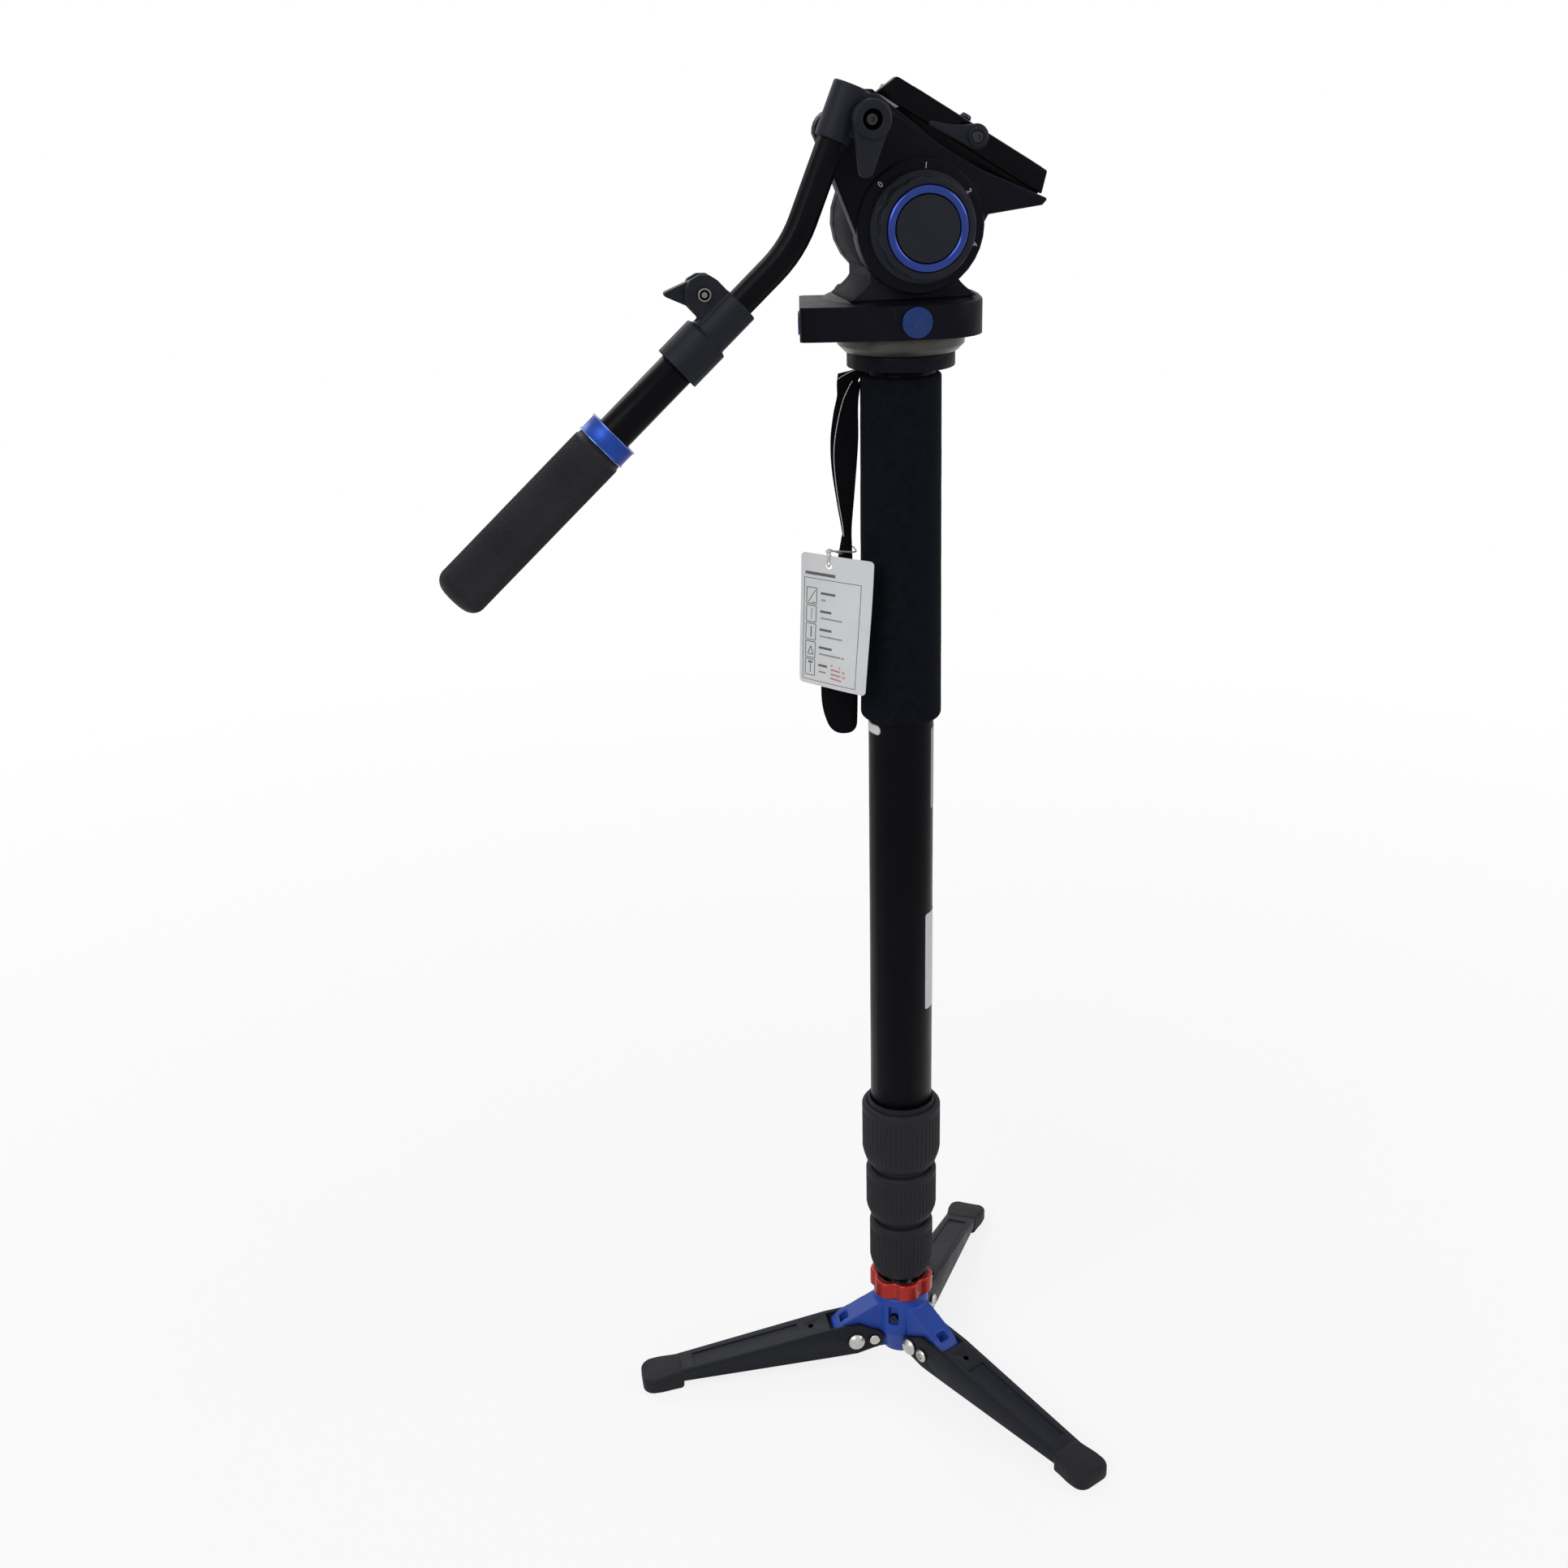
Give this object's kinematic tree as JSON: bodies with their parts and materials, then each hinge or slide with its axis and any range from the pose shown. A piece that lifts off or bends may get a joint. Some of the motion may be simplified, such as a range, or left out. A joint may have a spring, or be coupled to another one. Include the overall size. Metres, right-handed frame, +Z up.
{
  "type": "video monopod",
  "caption": "Video monopod: four-section twist-lock column on a folding three-leg base, fluid head with telescoping pan handle, foam grip and wrist strap.",
  "frame": {"origin": "centre of the bounding box's footprint, at floor height under the feet; the column stands 75.5 mm forward and 3.9 mm to the left of it", "axes": "+Z up along the column, +X the way the head looks, -Y the side with the balance dial, metres"},
  "size_m": [0.348, 0.2945, 0.7643],
  "materials": {
    "anodised_blue": "bright blue anodised",
    "anodised_red": "red anodised",
    "black_casting": "black powder coat",
    "black_foam": "black closed-cell foam",
    "black_plastic": "charcoal glass-filled plastic",
    "black_rubber": "black rubber",
    "black_tube": "black satin anodised",
    "black_webbing": "black woven webbing",
    "casting_blue": "blue painted casting, fine texture",
    "grey_alloy": "turned bare alloy",
    "nylon": "natural nylon",
    "steel": "bright steel",
    "white_card": "coated white card"
  },
  "bodies": {
    "base_hub": {"hub": "casting_blue", "set_screw": "steel", "pivot_pin_1": "steel", "pivot_pin_2": "steel", "pivot_pin_3": "steel"},
    "leg_a": {"leg_1": "black_plastic", "foot_1": "black_rubber", "stop_pin_1": "steel"},
    "leg_b": {"leg_2": "black_plastic", "foot_2": "black_rubber", "stop_pin_2": "steel"},
    "leg_c": {"leg_3": "black_plastic", "foot_3": "black_rubber", "stop_pin_3": "steel"},
    "tilt_lock_ring": {"lock_ring": "anodised_red"},
    "ball_seat_ring": {"ball_seat": "nylon"},
    "ball_stud": {"ball": "steel"},
    "section_4": {"foot_plug": "black_plastic", "tube_4": "black_tube"},
    "section_3": {"tube_3": "black_tube", "ferrule_3": "black_plastic"},
    "section_2": {"tube_2": "black_tube", "ferrule_2": "black_plastic"},
    "section_1": {"tube_1": "black_tube", "ferrule_1": "black_plastic", "foam_grip": "black_foam", "top_disc": "black_casting", "head_screw": "steel", "base_plate": "grey_alloy", "wrist_strap": "black_webbing", "hang_tag": "white_card", "tag_loop": "black_webbing"},
    "twist_lock_1": {"collar_1": "black_rubber"},
    "twist_lock_2": {"collar_2": "black_rubber"},
    "twist_lock_3": {"collar_3": "black_rubber"},
    "pan_unit": {"pan_housing": "black_casting", "pan_badge_front": "anodised_blue", "pan_badge_side": "anodised_blue", "tilt_drum": "black_casting"},
    "pan_knob": {"pan_lock_knob": "black_plastic"},
    "tilt_head": {"near_cheek": "black_casting", "far_cheek": "black_casting", "tilt_axle": "steel", "platform": "black_casting"},
    "sliding_plate": {"camera_plate": "black_casting"},
    "plate_screw": {"camera_screw": "steel"},
    "plate_lock": {"plate_lever": "black_plastic"},
    "dial": {"balance_dial": "black_plastic", "dial_ring": "anodised_blue", "dial_cap": "black_plastic"},
    "tilt_lock": {"tilt_lock_lever": "black_plastic"},
    "pan_handle": {"handle_clamp": "black_casting", "handle_tube": "black_tube"},
    "wing": {"wing_lever": "black_plastic"},
    "handle_extension": {"extension_clamp": "black_plastic", "clamp_pin": "steel", "handle_outer_tube": "black_tube", "grip_ring": "anodised_blue", "handle_grip": "black_rubber"},
    "cam_lever": {"clamp_lever": "black_plastic"}
  },
  "joints": [
    {"name": "leg_fold_a", "type": "hinge", "parent": "base_hub", "child": "leg_a", "pos_m": [0.08612, 0.02025, 0.02], "axis": [-0.8387, 0.5446, 0], "range_deg": [0, 70]},
    {"name": "leg_fold_b", "type": "hinge", "parent": "base_hub", "child": "leg_b", "pos_m": [0.05603, 0.00492, 0.02], "axis": [-0.0523, -0.9986, 0], "range_deg": [0, 70]},
    {"name": "leg_fold_c", "type": "hinge", "parent": "base_hub", "child": "leg_c", "pos_m": [0.08435, -0.01348, 0.02], "axis": [0.891, 0.454, 0], "range_deg": [0, 70]},
    {"name": "lock_ring_turn", "type": "hinge", "parent": "base_hub", "child": "tilt_lock_ring", "pos_m": [0.0755, 0.0039, 0.048], "axis": [0, 0, 1], "range_deg": [0, 90]},
    {"name": "column_sway_side", "type": "hinge", "parent": "base_hub", "child": "ball_seat_ring", "pos_m": [0.0755, 0.0039, 0.048], "axis": [1, 0, 0], "range_deg": [-6, 6]},
    {"name": "column_sway_fore", "type": "hinge", "parent": "ball_seat_ring", "child": "ball_stud", "pos_m": [0.0755, 0.0039, 0.048], "axis": [0, 1, 0], "range_deg": [-6, 6]},
    {"name": "column_swivel", "type": "hinge", "parent": "ball_stud", "child": "section_4", "pos_m": [0.0755, 0.0039, 0.048], "axis": [0, 0, 1], "continuous": true},
    {"name": "extend_3", "type": "slide", "parent": "section_4", "child": "section_3", "axis": [0, 0, 1], "range_m": [0, 0.37]},
    {"name": "extend_2", "type": "slide", "parent": "section_3", "child": "section_2", "axis": [0, 0, 1], "range_m": [0, 0.37]},
    {"name": "extend_1", "type": "slide", "parent": "section_2", "child": "section_1", "axis": [0, 0, 1], "range_m": [0, 0.37]},
    {"name": "twist_lock_turn_1", "type": "hinge", "parent": "section_1", "child": "twist_lock_1", "pos_m": [0.0755, 0.0039, 0.16305], "axis": [0, 0, 1], "range_deg": [0, 100]},
    {"name": "twist_lock_turn_2", "type": "hinge", "parent": "section_2", "child": "twist_lock_2", "pos_m": [0.0755, 0.0039, 0.122], "axis": [0, 0, 1], "range_deg": [0, 100]},
    {"name": "twist_lock_turn_3", "type": "hinge", "parent": "section_3", "child": "twist_lock_3", "pos_m": [0.0755, 0.0039, 0.0829], "axis": [0, 0, 1], "range_deg": [0, 100]},
    {"name": "pan", "type": "hinge", "parent": "section_1", "child": "pan_unit", "pos_m": [0.0755, 0.0039, 0.6479], "axis": [0, 0, 1], "continuous": true},
    {"name": "pan_lock_turn", "type": "hinge", "parent": "pan_unit", "child": "pan_knob", "pos_m": [0.06252, 0.04384, 0.6479], "axis": [-0.309, 0.9511, 0], "range_deg": [-90, 90]},
    {"name": "tilt", "type": "hinge", "parent": "pan_unit", "child": "tilt_head", "pos_m": [0.0755, 0.0039, 0.6938], "axis": [0, 1, 0], "range_deg": [-45, 30]},
    {"name": "plate_slide", "type": "slide", "parent": "tilt_head", "child": "sliding_plate", "axis": [0.8581, 0, -0.5135], "range_m": [-0.025, 0.02]},
    {"name": "plate_screw_turn", "type": "hinge", "parent": "sliding_plate", "child": "plate_screw", "pos_m": [0.10769, 0.0039, 0.7398], "axis": [0.5135, 0, 0.8581], "continuous": true},
    {"name": "plate_lock_turn", "type": "hinge", "parent": "tilt_head", "child": "plate_lock", "pos_m": [0.10476, 0.0039, 0.73491], "axis": [0, 1, 0], "range_deg": [0, 60]},
    {"name": "balance_step", "type": "hinge", "parent": "tilt_head", "child": "dial", "pos_m": [0.0755, 0.0039, 0.6938], "axis": [0, 1, 0], "range_deg": [0, 115]},
    {"name": "tilt_lock_turn", "type": "hinge", "parent": "tilt_head", "child": "tilt_lock", "pos_m": [0.0755, 0.0039, 0.6938], "axis": [0, 1, 0], "range_deg": [-30, 30]},
    {"name": "handle_angle", "type": "hinge", "parent": "tilt_head", "child": "pan_handle", "pos_m": [0.04406, 0.0039, 0.74583], "axis": [0, 1, 0], "range_deg": [0, 55]},
    {"name": "wing_turn", "type": "hinge", "parent": "pan_handle", "child": "wing", "pos_m": [0.04406, 0.0039, 0.74583], "axis": [0, 1, 0], "range_deg": [-60, 60]},
    {"name": "handle_extend", "type": "slide", "parent": "pan_handle", "child": "handle_extension", "axis": [-0.7373, 0, -0.6756], "range_m": [0, 0.07]},
    {"name": "cam_lever_turn", "type": "hinge", "parent": "handle_extension", "child": "cam_lever", "pos_m": [-0.03765, -0.0446, 0.66842], "axis": [0, 1, 0], "range_deg": [-40, 60]}
  ]
}
